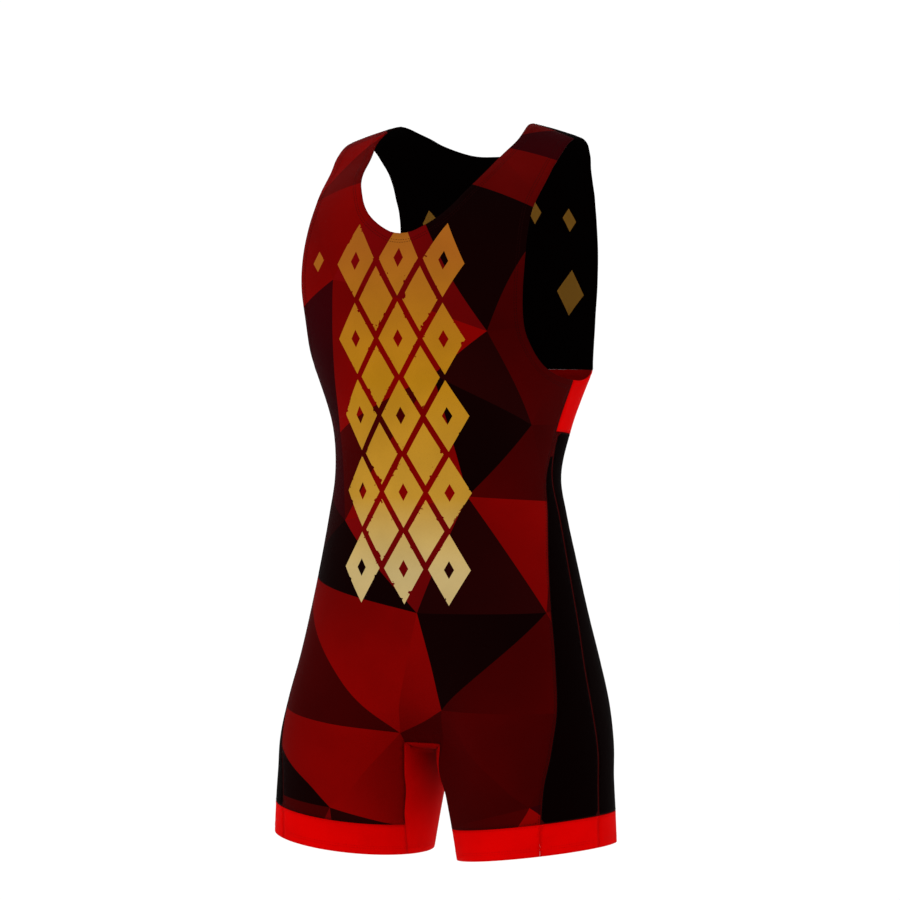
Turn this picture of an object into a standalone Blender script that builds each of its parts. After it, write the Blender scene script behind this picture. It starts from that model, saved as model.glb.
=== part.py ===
# Wrestling singlet in its worn, filled-out form with nobody in it.
# The panels are cut as flat patterns, laid on one smooth form and given the cloth's thickness.
# The form and the patterns are in millimetres above the lowest point of the hem. The finished part
# is in metres, with its origin between the shoulder straps, where the wearer's shoulders hold it.

import math
from functools import lru_cache

import bmesh
import bpy
import numpy as np
from mathutils import Vector
from mathutils.geometry import delaunay_2d_cdt

MM = 0.001
CLOTH = 1.5              # wall of one layer of knit
SEAM_GAP = 0.3           # clearance between neighbouring panels
HALF_GAP = SEAM_GAP / 2
CELL = 20.0              # spacing of the points inside a panel
EDGE_STEP = 14.0         # spacing of the points along a panel's edge
EDGE_CLEARANCE = 9.0     # points inside a panel keep this far from its edge
CORNER_CLEARANCE = 4.0   # a seam's points keep this far from the corner where it starts
SAME_PLACE = 1.0         # edges that meet within this share one point
OUTER_SAMPLES, INNER_SAMPLES = 61, 41    # points read along each part of a row
ON_MIDDLE = 0.0002       # in metres: points this near the middle plane are put on it
MERGE_WITHIN = 0.00005   # in metres: the two halves' points on the middle plane join
HELD_AT = np.array([0.0, 48.0, 829.0])   # the form's point that becomes the part's origin

# The form: one row for each level, wearer facing -Y, wearer's left at +X.
# station counts the rows up the cloth, height is that row's level at the leg's or body's middle,
# half_width the distance from the middle plane to the side, lobe the distance to the fullest line
# of the thigh, front and back the depth there, centre_front and centre_back the depth on the middle
# plane, side the depth of the widest point, squareness the power of each outline (2 is an ellipse)
# and droop how far the row hangs at the shoulder's outer end.
FORM_COLUMNS = ("station", "height", "half_width", "lobe", "front", "centre_front", "back",
                "centre_back", "side", "squareness_front", "squareness_back", "droop")
FORM = (
    (0, 15, 208, 118, -104, -104, 90, 90, -8, 2.0, 2.0, 0),
    (36, 50, 206, 114, -106, -96, 93, 84, -8, 2.0, 2.0, 0),
    (80, 91, 203, 108, -109, -78, 98, 74, -7, 2.0, 2.0, 0),
    (132, 136, 199, 101, -110, -54, 106, 60, -4, 2.1, 2.1, 0),
    (180, 180, 189, 86, -107, -84, 116, 96, 0, 2.2, 2.2, 0),
    (229, 229, 176, 60, -101, -95, 117, 112, 3, 2.3, 2.3, 0),
    (283, 283, 164, 30, -102, -101, 108, 107, 6, 2.3, 2.3, 0),
    (338, 338, 152, 10, -104, -104, 99, 99, 8, 2.3, 2.3, 0),
    (393, 393, 140, 4, -104, -104, 91, 91, 8, 2.3, 2.3, 0),
    (434, 434, 132, 2, -105, -105, 93, 93, 8, 2.3, 2.3, 0),
    (489, 489, 137, 2, -109, -109, 111, 111, 22, 2.3, 2.3, 0),
    (560, 560, 162, 2, -115, -115, 122, 122, 28, 2.4, 2.4, 0),
    (620, 621, 180, 2, -118, -118, 128, 128, 24, 2.5, 2.8, 10),
    (674, 678, 186, 2, -117, -117, 132, 132, 24, 2.7, 3.5, 26),
    (715, 722, 190, 2, -107, -107, 133, 133, 32, 2.8, 3.9, 36),
    (750, 756, 194, 2, -90, -90, 130, 130, 38, 2.9, 4.0, 41),
    (790, 785, 202, 2, -66, -66, 121, 121, 44, 2.9, 4.0, 42),
    (834, 812, 216, 2, -27, -27, 106, 106, 47, 3.1, 4.0, 37),
    (868, 829, 230, 2, -1, -1, 91, 91, 48, 3.4, 4.0, 31),
    (895, 841, 236, 2, 20, 20, 76, 76, 48, 3.6, 3.8, 30),
    (908, 846, 238, 2, 32, 32, 64, 64, 48, 3.6, 3.6, 31),
    (920, 848, 240, 2, 48, 48, 48, 48, 48, 3.6, 3.6, 31),
)
HEM, BAND_TOP, CROTCH, RIDGE = 0, 36, 132, 920
SHOULDER_END = 157.0     # distance from the middle plane to the strap's outer corner
HEM_TILT = 0.126         # the hems slope down to the inside of the leg, square to the splayed leg
TILT_LEVELS = (30, 132)  # full tilt below, none above
RING_LEVELS = (70, 132)  # a round leg below, the thigh's share of the body above

# The gusset's seams on the leg: depth in front of and behind the leg's middle at each station
GUSSET_WIDTH = 46.0      # across the crotch, seam to seam
GUSSET_SEAM = ((0, 33), (50, 48), (90, 53), (132, 50))
CROTCH_DIP = 9.0         # the middle of the crotch hangs this far below its front edge
ARCH_RISE = 14.0         # the arch between the legs springs this far below the crotch
LEG_BEND = 0.33          # how far each half of the gusset runs straight off its seam, of its depth
ARCH_ROWS = (0.0, 0.25, 0.5, 0.75)       # rows of the gusset from the middle to the leg
HALF_DEPTHS = (0.2, 0.4, 0.6, 0.78, 0.9, 0.97, 1.0)   # and across it, from the middle to a seam

# Seams and edges: round is the distance round the body from the side line, positive towards the
# back and negative towards the front, at each station
SEAM_COLUMNS = ("round", "station")
FRONT_SEAM = ((-97, 0), (-95, 44), (-89, 98), (-80, 142), (-69, 178), (-56, 236), (-48, 302),
              (-40, 346), (-31, 380), (-22, 412), (-17, 446), (-16, 489), (-19, 546))
BACK_SEAM = ((-19, 0), (-16, 45), (-11, 120), (-9, 190), (-4, 260), (-3, 340), (-1, 400),
             (-2, 425), (-5, 445), (-9, 468), (-12, 488))
FRONT_NECK = ((-154, 920), (-158, 896), (-162, 872), (-166, 850), (-170.5, 832), (-176, 817.5),
              (-181.5, 805), (-187, 794), (-193.5, 781), (-202.5, 765), (-216, 743), (-226.5, 731),
              (-239, 720.5), (-252, 712), (-264, 706.5), (-275.5, 705))
BACK_NECK = ((154, 920), (157, 912), (165, 899), (175, 885), (185, 871), (194.5, 854),
             (204, 841.5), (213.5, 832.5), (226, 825), (239, 821), (250, 820))
FRONT_ARMHOLE = ((-19, 546), (-36, 548), (-54, 552.5), (-76, 562.5), (-91, 575), (-103, 590),
                 (-112, 605), (-118, 622), (-121.5, 640), (-124, 663), (-126.5, 686),
                 (-129, 706), (-130, 728), (-129, 748), (-127, 770), (-124.5, 784), (-121, 798),
                 (-117, 811), (-113, 828), (-111, 848), (-109, 868), (-104, 892), (-99, 908))
UNDERARM = ((-19, 546), (0, 545), (22, 549), (42, 557))
BACK_ARMHOLE = ((42, 557), (57, 565), (68, 575), (81, 590), (92, 605), (102, 621), (115, 648),
                (123, 674), (127, 715), (126, 744), (123, 770), (120, 790), (119, 812), (118, 834),
                (117, 850), (115, 870), (110, 890), (103, 907), (97, 920), (99, 932))
BACK_BAND_TOP = 557      # station of the band's upper seam
BACK_BAND_FOOT = ((-16, 489), (-12, 488.7), (0, 488), (15, 486.5), (40, 484.5), (90, 484), (180, 484))
WEDGE_TIP = 488          # where the side wedge ends in a blunt point


def clear_scene():
    for item in list(bpy.data.objects):
        bpy.data.objects.remove(item, do_unlink=True)


def ease(low, high, value):
    share = min(max((value - low) / (high - low), 0.0), 1.0)
    return share * share * (3.0 - 2.0 * share)


def read_form(name, station):
    """One column of the form at any station, by a smooth curve through its rows."""
    stations = np.array([row[0] for row in FORM], float)
    values = np.array([row[FORM_COLUMNS.index(name)] for row in FORM], float)
    slopes = np.gradient(values, stations)
    place = int(np.clip(np.searchsorted(stations, station) - 1, 0, len(stations) - 2))
    width = stations[place + 1] - stations[place]
    t = (station - stations[place]) / width
    return ((1 + 2 * t) * (1 - t) ** 2 * values[place] + t * (1 - t) ** 2 * width * slopes[place]
            + t * t * (3 - 2 * t) * values[place + 1] + t * t * (t - 1) * width * slopes[place + 1])


def leg_tilt(station):
    return HEM_TILT * (1.0 - ease(*TILT_LEVELS, station))


@lru_cache(maxsize=None)
def half_row(station, face):
    """Half of one row, from the side line round to the middle plane or to the gusset's seam.
    Returns the distance from the side line, and the points."""
    peak, centre = read_form(face, station), read_form("centre_" + face, station)
    lobe, half_width = read_form("lobe", station), read_form("half_width", station)
    side, power = read_form("side", station), 2.0 / read_form("squareness_" + face, station)
    turn = np.linspace(math.pi / 2, 0.0, OUTER_SAMPLES)
    outer_x = lobe + (half_width - lobe) * np.sin(turn) ** power
    outer_y = side + (peak - side) * np.cos(turn) ** power
    on_leg = station < CROTCH
    inner_x = np.linspace(lobe, GUSSET_WIDTH / 2 if on_leg else 0.0, INNER_SAMPLES)
    inner_y = peak + (centre - peak) * (1 + np.cos(math.pi * inner_x / lobe)) / 2
    if on_leg:
        depth = np.interp(station, *zip(*GUSSET_SEAM))
        sweep = np.linspace(0.0, math.acos(depth / abs(peak)), INNER_SAMPLES)
        ring = 1.0 - ease(*RING_LEVELS, station)
        inner_x += ring * (lobe - (half_width - lobe) * np.sin(sweep) - inner_x)
        inner_y += ring * (peak * np.cos(sweep) - inner_y)
    x = np.concatenate([outer_x, inner_x[1:]])
    y = np.concatenate([outer_y, inner_y[1:]])
    z = (read_form("height", station) + leg_tilt(station) * (x - lobe)
         - read_form("droop", station) * (x / SHOULDER_END) ** 2)
    points = np.stack([x, y, z], axis=1)
    reach = np.concatenate([[0.0], np.cumsum(np.linalg.norm(np.diff(points[:, :2], axis=0), axis=1))])
    return reach, points


def row_length(station, face):
    return half_row(station, face)[0][-1]


def form_point(round_, station):
    """The form's point at a distance round the body and a station. Past the ridge of the shoulder
    the stations run on down the other face."""
    if station > RIDGE:
        station, round_ = 2 * RIDGE - station, -round_
    reach, points = half_row(round(float(station), 4), "back" if round_ > 0 else "front")
    return np.array([np.interp(abs(round_), reach, points[:, axis]) for axis in range(3)])


def form_normal(round_, station):
    """The outward direction there, from the neighbouring points on the form."""
    step = 1.0
    low, high = station - step, station + step
    if station >= CROTCH:
        low = max(low, CROTCH)
    else:
        low, high = max(low, HEM), min(high, CROTCH - 0.001)
    face = "back" if (round_ > 0) != (station > RIDGE) else "front"
    level = station if station <= RIDGE else 2 * RIDGE - station
    end = row_length(round(float(level), 4), face)
    left, right = max(round_ - step, -end), min(round_ + step, end)
    along = form_point(right, station) - form_point(left, station)
    up = form_point(round_, high) - form_point(round_, low)
    normal = np.cross(along, up)
    return normal / np.linalg.norm(normal)


def smooth_line(points, step=EDGE_STEP):
    """Points along a smooth curve through the given ones, about a step apart."""
    knots = np.array(points, float)
    spans = np.concatenate([[0.0], np.cumsum(np.linalg.norm(np.diff(knots, axis=0), axis=1))])
    slopes = np.stack([np.gradient(knots[:, axis], spans) for axis in range(2)], axis=1)
    line = []
    for along in np.linspace(0.0, spans[-1], max(2, int(round(spans[-1] / step)) + 1)):
        k = int(np.clip(np.searchsorted(spans, along) - 1, 0, len(spans) - 2))
        width = spans[k + 1] - spans[k]
        t = (along - spans[k]) / width
        line.append((1 + 2 * t) * (1 - t) ** 2 * knots[k] + t * (1 - t) ** 2 * width * slopes[k]
                    + t * t * (3 - 2 * t) * knots[k + 1] + t * t * (t - 1) * width * slopes[k + 1])
    return [tuple(point) for point in line]


def round_at(curve, station):
    """How far round the body a seam lies at a station."""
    columns = dict(zip(SEAM_COLUMNS, np.array(curve, float).T))
    order = np.argsort(columns["station"])
    xs, ys = columns["station"][order], columns["round"][order]
    slopes = np.gradient(ys, xs)
    k = int(np.clip(np.searchsorted(xs, station) - 1, 0, len(xs) - 2))
    width = xs[k + 1] - xs[k]
    t = (station - xs[k]) / width
    return ((1 + 2 * t) * (1 - t) ** 2 * ys[k] + t * (1 - t) ** 2 * width * slopes[k]
            + t * t * (3 - 2 * t) * ys[k + 1] + t * t * (t - 1) * width * slopes[k + 1])


def stops(low, high, step=EDGE_STEP):
    """Even values from low to high, on the same grid for every panel that shares the seam."""
    inner = [k * step for k in range(int(math.ceil(low / step)), int(high / step) + 1)]
    return [low] + [v for v in inner if low + step / 3 < v < high - step / 3] + [high]


def up_seam(curve, low, high, shift):
    """A seam from one station up to another, moved round the body by shift."""
    return [(round_at(curve, s) + shift, s) for s in stops(low, high)]


def across(station, low, high):
    """A level edge from one place round the body to another."""
    return [(r, station) for r in stops(low, high)]


def down(edge):
    return edge[::-1]


def middle(face, low, high):
    """The body's middle plane from one station up to another."""
    sign = -1.0 if face == "front" else 1.0
    return [(sign * row_length(round(s, 4), face), s) for s in stops(low, high)]


def leg_seam(face, station):
    """The gusset's seam on the leg, a seam's gap short of it."""
    sign = -1.0 if face == "front" else 1.0
    return sign * (row_length(round(min(station, CROTCH - 0.001), 4), face) - SEAM_GAP)


def gusset_side(face, low, high):
    return [(leg_seam(face, s), min(s, CROTCH - 0.001)) for s in stops(low, high)]


def joined(*edges):
    """One closed outline from edges that follow each other."""
    outline = []
    for edge in edges:
        for point in edge:
            if not outline or math.dist(point, outline[-1]) > SAME_PLACE:
                outline.append(point)
    if math.dist(outline[0], outline[-1]) <= SAME_PLACE:
        outline.pop()
    return outline


def inside_points(outline):
    """Staggered points inside the outline, clear of its edge."""
    ring = np.array(outline)
    start, end = ring, np.roll(ring, -1, axis=0)
    side = end - start
    found = []
    low, high = ring.min(axis=0), ring.max(axis=0)
    row_height = CELL * math.sqrt(3) / 2
    for row in range(int((high[1] - low[1]) / row_height) + 1):
        y = low[1] + (row + 0.5) * row_height
        for column in range(int((high[0] - low[0]) / CELL) + 2):
            x = low[0] + (column + 0.5 * (row % 2)) * CELL
            crosses = (start[:, 1] > y) != (end[:, 1] > y)
            with np.errstate(divide="ignore", invalid="ignore"):
                meets = start[:, 0] + (y - start[:, 1]) / side[:, 1] * side[:, 0]
            if np.count_nonzero(crosses & (meets > x)) % 2 == 0:
                continue
            point = np.array([x, y])
            t = np.clip(((point - start) * side).sum(axis=1) / (side ** 2).sum(axis=1), 0, 1)
            if np.linalg.norm(start + side * t[:, None] - point, axis=1).min() > EDGE_CLEARANCE:
                found.append((x, y))
    return found


def material_for(name, colour, roughness):
    material = bpy.data.materials.new(name)
    material.use_nodes = True
    shader = material.node_tree.nodes["Principled BSDF"]
    shader.inputs["Base Color"].default_value = (*colour, 1.0)
    shader.inputs["Roughness"].default_value = roughness
    shader.inputs["Metallic"].default_value = 0.0
    return material


def wall(name, outer, normals, faces, material, collection, mirrored=False, two_halves=False):
    """One layer of cloth: the outer skin, an inner skin one cloth's thickness in, and the edge.
    The skins share the form's normals, so panels meet squarely at their seams."""
    outer = (np.array(outer) - HELD_AT) * MM
    inner = outer - np.array(normals) * CLOTH * MM
    if two_halves:
        on_plane = np.abs(outer[:, 0]) < ON_MIDDLE
        outer[on_plane, 0] = 0.0
        inner[on_plane, 0] = 0.0
    if mirrored:
        outer[:, 0] *= -1
        inner[:, 0] *= -1
        faces = [tuple(reversed(face)) for face in faces]
    shell = bmesh.new()
    skins = [[shell.verts.new(Vector(point)) for point in skin] for skin in (outer, inner)]
    for face in faces:
        shell.faces.new([skins[0][k] for k in face])
        shell.faces.new([skins[1][k] for k in reversed(face)])
    used = {}
    for face in faces:
        for a, b in zip(face, face[1:] + face[:1]):
            used[(a, b)] = True
    for a, b in used:
        if (b, a) in used:
            continue
        if two_halves and abs(outer[a][0]) < 1e-9 and abs(outer[b][0]) < 1e-9:
            continue
        shell.faces.new([skins[0][b], skins[0][a], skins[1][a], skins[1][b]])
    bmesh.ops.triangulate(shell, faces=shell.faces[:])
    mesh = bpy.data.meshes.new(name)
    shell.to_mesh(mesh)
    shell.free()
    mesh.shade_smooth()
    mesh.set_sharp_from_angle(angle=math.radians(50))
    mesh.materials.append(material)
    piece = bpy.data.objects.new(name, mesh)
    collection.objects.link(piece)
    if two_halves:
        mirror = piece.modifiers.new("other_half", "MIRROR")
        mirror.merge_threshold = MERGE_WITHIN
    return piece


def cut_panel(name, outline, material, collection, **halves):
    """Fills a pattern's outline, lays it on the form and gives it the cloth's thickness."""
    seeds = [Vector(point) for point in outline + inside_points(outline)]
    edge_loop = [(k, (k + 1) % len(outline)) for k in range(len(outline))]
    flat, _, faces, *_ = delaunay_2d_cdt(seeds, edge_loop, [], 1, 1e-4)
    places = [(point.x, point.y) for point in flat]
    faces = [tuple(face) for face in faces]
    outer = [form_point(*place) for place in places]
    normals = [form_normal(*place) for place in places]
    return wall(name, outer, normals, faces, material, collection, **halves)


def gusset_point(arch, level, depth):
    """A point of the gusset's left half: arch runs from the middle of the crotch (0) to the leg (1),
    level down the leg from the crotch to the hem, depth from the front seam (-1) to the back (1)."""
    face = "front" if depth < 0 else "back"
    d = abs(depth)
    spring = CROTCH - ARCH_RISE * (1 - d * d) - 0.001
    station = round(spring * level / CROTCH, 4)
    _, points = half_row(station, face)
    lobe = read_form("lobe", station)
    seam = points[-1][:2]
    inner = np.array([2 * lobe - read_form("half_width", station), 0.0])
    leave = (seam - points[-2][:2]) / np.linalg.norm(seam - points[-2][:2])
    handle = LEG_BEND * abs(seam[1])
    bends = (seam, seam + leave * handle, inner + (0, math.copysign(handle, seam[1])), inner)
    t = 1 - d
    shares = ((1 - t) ** 3, 3 * t * (1 - t) ** 2, 3 * t * t * (1 - t), t ** 3)
    x, y = sum(bend * share for bend, share in zip(bends, shares))
    z = read_form("height", station) + leg_tilt(station) * (x - lobe)
    middle_y = read_form("centre_" + face, CROTCH) * d
    middle_z = read_form("height", CROTCH) - CROTCH_DIP * math.sqrt(max(0.0, 1 - d ** 6))
    swing = arch * math.pi / 2
    wave = math.pi / read_form("lobe", CROTCH)
    bow = (1 - math.cos(wave * x * math.sin(swing))) / (1 - math.cos(wave * x))
    return np.array([x * math.sin(swing), middle_y + (y - middle_y) * bow,
                     z + (middle_z - z) * math.cos(swing)])


def gusset(material, collection):
    """The saddle between the legs, on a grid of levels and depths."""
    rows = [(arch, CROTCH) for arch in ARCH_ROWS]
    rows += [(1.0, level) for level in reversed(stops(HEM, CROTCH))]
    depths = [-d for d in reversed(HALF_DEPTHS)] + [0.0] + list(HALF_DEPTHS)
    grid = np.array([[gusset_point(*row, depth) for depth in depths] for row in rows])
    slopes = np.cross(np.gradient(grid, axis=1), np.gradient(grid, axis=0))
    normals = slopes / np.linalg.norm(slopes, axis=2)[:, :, None]
    for i, (arch, level) in enumerate(rows):
        for j, face, sign in ((0, "front", -1), (-1, "back", 1)):
            station = CROTCH if arch < 1 else min(level, CROTCH - 0.001)
            reach, points = half_row(station, face)
            seam = reach[-1] if arch == 1 else np.interp(-grid[i, j, 0], -points[:, 0], reach)
            normals[i, j] = form_normal(sign * seam, station)
            if arch < 1:
                grid[i, j, 2] -= SEAM_GAP
    count = len(depths)
    faces = [(k, k + 1, k + count + 1, k + count)
             for i in range(len(rows) - 1) for k in range(i * count, (i + 1) * count - 1)]
    return wall("inner_leg_gusset", grid.reshape(-1, 3), normals.reshape(-1, 3), faces,
                material, collection, two_halves=True)


def front_panel_outline():
    band_foot = BACK_BAND_FOOT[0][1]
    crotch_line = across(CROTCH, -row_length(CROTCH, "front"), leg_seam("front", CROTCH))
    seam = [*up_seam(FRONT_SEAM, BAND_TOP, band_foot, -HALF_GAP),
            *up_seam(FRONT_SEAM, band_foot, UNDERARM[0][1], -HALF_GAP)]
    shoulder = [(r, s - HALF_GAP) for r, s in smooth_line((FRONT_ARMHOLE[-1], FRONT_NECK[0]))]
    return joined(across(BAND_TOP + HALF_GAP, leg_seam("front", BAND_TOP), seam[0][0]), seam,
                  smooth_line(FRONT_ARMHOLE)[1:-1], shoulder, smooth_line(FRONT_NECK)[1:-1],
                  down(middle("front", CROTCH, FRONT_NECK[-1][1])), crotch_line,
                  down(gusset_side("front", BAND_TOP, CROTCH)))


def upper_back_outline():
    shoulder = [(r, s - HALF_GAP) for r, s in smooth_line((BACK_NECK[0], BACK_ARMHOLE[-1]))]
    return joined(across(BACK_BAND_TOP + HALF_GAP, BACK_ARMHOLE[0][0], row_length(BACK_BAND_TOP, "back")),
                  middle("back", BACK_BAND_TOP + HALF_GAP, BACK_NECK[-1][1]),
                  down(smooth_line(BACK_NECK))[1:-1], shoulder, down(smooth_line(BACK_ARMHOLE))[1:-1])


def back_band_outline():
    foot = [(r, s + HALF_GAP) for r, s in smooth_line(BACK_BAND_FOOT)]
    seam = up_seam(FRONT_SEAM, BACK_BAND_FOOT[0][1], UNDERARM[0][1], HALF_GAP)
    top = across(BACK_BAND_TOP - HALF_GAP, BACK_ARMHOLE[0][0], row_length(BACK_BAND_TOP, "back"))
    return joined(foot, middle("back", BACK_BAND_FOOT[-1][1] + HALF_GAP, BACK_BAND_TOP - HALF_GAP),
                  down(top), down(smooth_line(UNDERARM))[1:-1], down(seam))


def lower_back_outline():
    seam = up_seam(BACK_SEAM, BAND_TOP, WEDGE_TIP, HALF_GAP)
    foot = [(r, s - HALF_GAP) for r, s in smooth_line(BACK_BAND_FOOT) if r > seam[-1][0] + CORNER_CLEARANCE]
    crotch_line = across(CROTCH, leg_seam("back", CROTCH), row_length(CROTCH, "back"))
    return joined(across(BAND_TOP + HALF_GAP, seam[0][0], leg_seam("back", BAND_TOP)),
                  gusset_side("back", BAND_TOP, CROTCH), crotch_line,
                  middle("back", CROTCH, BACK_BAND_FOOT[-1][1] - HALF_GAP), down(foot), down(seam))


def strip_outline(left_seam, right_seam, low, high):
    """A piece between two edges, each given as a function of the stations at its ends."""
    left, right = left_seam(low, high), right_seam(low, high)
    return joined(across(low, left[0][0], right[0][0]), right,
                  down(across(high, left[-1][0], right[-1][0])), down(left))


def build():
    clear_scene()
    singlet = bpy.data.collections.new("wrestling_singlet")
    bpy.context.scene.collection.children.link(singlet)
    printed = material_for("printed_dark_red_knit", (0.13, 0.005, 0.006), 0.62)
    black = material_for("black_knit", (0.006, 0.005, 0.005), 0.6)
    red = material_for("bright_red_knit", (0.62, 0.008, 0.008), 0.58)

    for name, outline, material in (("front_panel", front_panel_outline(), printed),
                                    ("upper_back_panel", upper_back_outline(), black),
                                    ("back_band", back_band_outline(), red),
                                    ("lower_back_panel", lower_back_outline(), black)):
        cut_panel(name, outline, material, singlet, two_halves=True)
    gusset(red, singlet)

    def front_seam_at(shift):
        return lambda low, high: up_seam(FRONT_SEAM, low, high, shift)

    def back_seam_at(shift):
        return lambda low, high: up_seam(BACK_SEAM, low, high, shift)

    def gusset_at(face):
        return lambda low, high: gusset_side(face, low, high)

    wedge = strip_outline(front_seam_at(HALF_GAP), back_seam_at(-HALF_GAP),
                          BAND_TOP + HALF_GAP, WEDGE_TIP - HALF_GAP)
    bands = {"front": (gusset_at("front"), front_seam_at(-HALF_GAP)),
             "side": (front_seam_at(HALF_GAP), back_seam_at(-HALF_GAP)),
             "back": (back_seam_at(HALF_GAP), gusset_at("back"))}
    for side in ("left", "right"):
        cut_panel("side_wedge_" + side, wedge, black, singlet, mirrored=side == "right")
        for place, edges in bands.items():
            band = strip_outline(*edges, HEM, BAND_TOP - HALF_GAP)
            cut_panel(f"leg_band_{place}_{side}", band, red, singlet, mirrored=side == "right")


if __name__ == "__main__":
    build()
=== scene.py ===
# Wrestling singlet: stretch-knit panels on their worn form, with print, seams and stitching.
# Patterns are in millimetres on the cloth, and everything that is made is in metres.

import math
from functools import lru_cache

import bpy
import numpy as np
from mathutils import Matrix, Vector
from mathutils.geometry import delaunay_2d_cdt


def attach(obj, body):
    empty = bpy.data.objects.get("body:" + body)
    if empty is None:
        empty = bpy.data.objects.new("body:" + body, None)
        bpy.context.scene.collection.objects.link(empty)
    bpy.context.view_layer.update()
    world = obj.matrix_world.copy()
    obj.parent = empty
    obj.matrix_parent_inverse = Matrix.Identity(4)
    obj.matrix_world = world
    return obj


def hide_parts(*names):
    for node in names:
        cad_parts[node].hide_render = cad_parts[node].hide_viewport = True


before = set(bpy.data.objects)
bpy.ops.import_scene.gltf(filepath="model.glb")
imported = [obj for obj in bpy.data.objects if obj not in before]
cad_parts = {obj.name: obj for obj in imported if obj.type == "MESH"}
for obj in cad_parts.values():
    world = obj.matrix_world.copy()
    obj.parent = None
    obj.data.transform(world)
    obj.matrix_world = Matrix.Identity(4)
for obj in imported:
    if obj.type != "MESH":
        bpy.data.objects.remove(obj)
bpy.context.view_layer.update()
scene = bpy.context.scene
print("frame loaded,", len(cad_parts), "cloth nodes")


def shown(name, data):
    made = bpy.data.objects.new(name, data)
    scene.collection.objects.link(made)
    return made


# The camera stands a little to the wearer's left of the front, almost level.
viewpoint = {
    "place": (2.111, -4.019, -0.206),
    "target": (0.0, -0.048, -0.363),
    "lens": 157.5,
    "shift": 0.0033,
}

camera = shown("camera", bpy.data.cameras.new("camera"))
camera.location = viewpoint["place"]
look = Vector(viewpoint["target"]) - Vector(viewpoint["place"])
camera.rotation_euler = look.to_track_quat("-Z", "Y").to_euler()
camera.data.lens = viewpoint["lens"]
camera.data.sensor_width = 36.0
camera.data.shift_x = viewpoint["shift"]
camera.data.clip_end = 200.0
camera.data.dof.use_dof = False
scene.camera = camera

# The worn form. Each row is one level: how far up the cloth, its height, half width, the thigh's
# fullest line, depths of the front and back at that line and on the middle plane, depth of the side,
# squareness of the front and back outlines, and how far the row hangs at the shoulder's end.
wornForm = {
    "columns": ("station", "height", "halfWidth", "lobe", "front", "middleFront", "back",
                "middleBack", "side", "squareFront", "squareBack", "droop"),
    "rows": (
        (0, 15, 208, 118, -104, -104, 90, 90, -8, 2.0, 2.0, 0),
        (36, 50, 206, 114, -106, -96, 93, 84, -8, 2.0, 2.0, 0),
        (80, 91, 203, 108, -109, -78, 98, 74, -7, 2.0, 2.0, 0),
        (132, 136, 199, 101, -110, -54, 106, 60, -4, 2.1, 2.1, 0),
        (180, 180, 189, 86, -107, -84, 116, 96, 0, 2.2, 2.2, 0),
        (229, 229, 176, 60, -101, -95, 117, 112, 3, 2.3, 2.3, 0),
        (283, 283, 164, 30, -102, -101, 108, 107, 6, 2.3, 2.3, 0),
        (338, 338, 152, 10, -104, -104, 99, 99, 8, 2.3, 2.3, 0),
        (393, 393, 140, 4, -104, -104, 91, 91, 8, 2.3, 2.3, 0),
        (434, 434, 132, 2, -105, -105, 93, 93, 8, 2.3, 2.3, 0),
        (489, 489, 137, 2, -109, -109, 111, 111, 22, 2.3, 2.3, 0),
        (560, 560, 162, 2, -115, -115, 122, 122, 28, 2.4, 2.4, 0),
        (620, 621, 180, 2, -118, -118, 128, 128, 24, 2.5, 2.8, 10),
        (674, 678, 186, 2, -117, -117, 132, 132, 24, 2.7, 3.5, 26),
        (715, 722, 190, 2, -107, -107, 133, 133, 32, 2.8, 3.9, 36),
        (750, 756, 194, 2, -90, -90, 130, 130, 38, 2.9, 4.0, 41),
        (790, 785, 202, 2, -66, -66, 121, 121, 44, 2.9, 4.0, 42),
        (834, 812, 216, 2, -27, -27, 106, 106, 47, 3.1, 4.0, 37),
        (868, 829, 230, 2, -1, -1, 91, 91, 48, 3.4, 4.0, 31),
        (895, 841, 236, 2, 20, 20, 76, 76, 48, 3.6, 3.8, 30),
        (908, 846, 238, 2, 32, 32, 64, 64, 48, 3.6, 3.6, 31),
        (920, 848, 240, 2, 48, 48, 48, 48, 48, 3.6, 3.6, 31),
    ),
    "crotch": 132.0,
    "legTop": 131.999,  # the last row of the leg, just under the crotch
    "ridge": 920.0,  # the top of the shoulder, where front and back rows meet
    "shoulderEnd": 157.0,
    "hemTilt": 0.126,
    "tiltLevels": (30, 132),
    "ringLevels": (70, 132),
    "gussetWidth": 46.0,
    "gussetSeam": ((0, 33), (50, 48), (90, 53), (132, 50)),
    "heldAt": (0.0, 48.0, 829.0),
    "rowStep": 2.0,
    "outerSamples": 61,  # points out from the thigh's fullest line
    "innerSamples": 41,  # and in from it
    "normalStep": 1.5,
}
crotch, legTop, ridge = wornForm["crotch"], wornForm["legTop"], wornForm["ridge"]

# How the cloth is made up
cloth = {
    "wall": 1.15,  # one layer of knit
    "hemWall": 1.6,  # with its turning, at a free edge
    "hemDepth": 11.0,
    "hemBlend": 2.0,
    "seamGap": 0.3,
    "edgeBulge": 0.14,  # edges round out halfway through the cloth and all but meet
    "edgeStep": 7.0,
    "edgeProbe": 0.5,  # the cloth's course past an edge is read this far out
    "feltTo": 14.0,  # seams and free edges are felt this far away
    "cell": 6.5,
    "rowShare": 0.866,  # height of a row of cells
    "keepOff": 0.42,  # share of a cell that stays clear of lines
    "roundCut": 0.88,  # the knit is cut smaller than it is worn
    "lengthCut": 0.95,
}
halfGap = cloth["seamGap"] / 2
mm = 0.001


def placed(points):  # the garment hangs from its shoulders, in metres
    return (points - wornForm["heldAt"]) * mm


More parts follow.
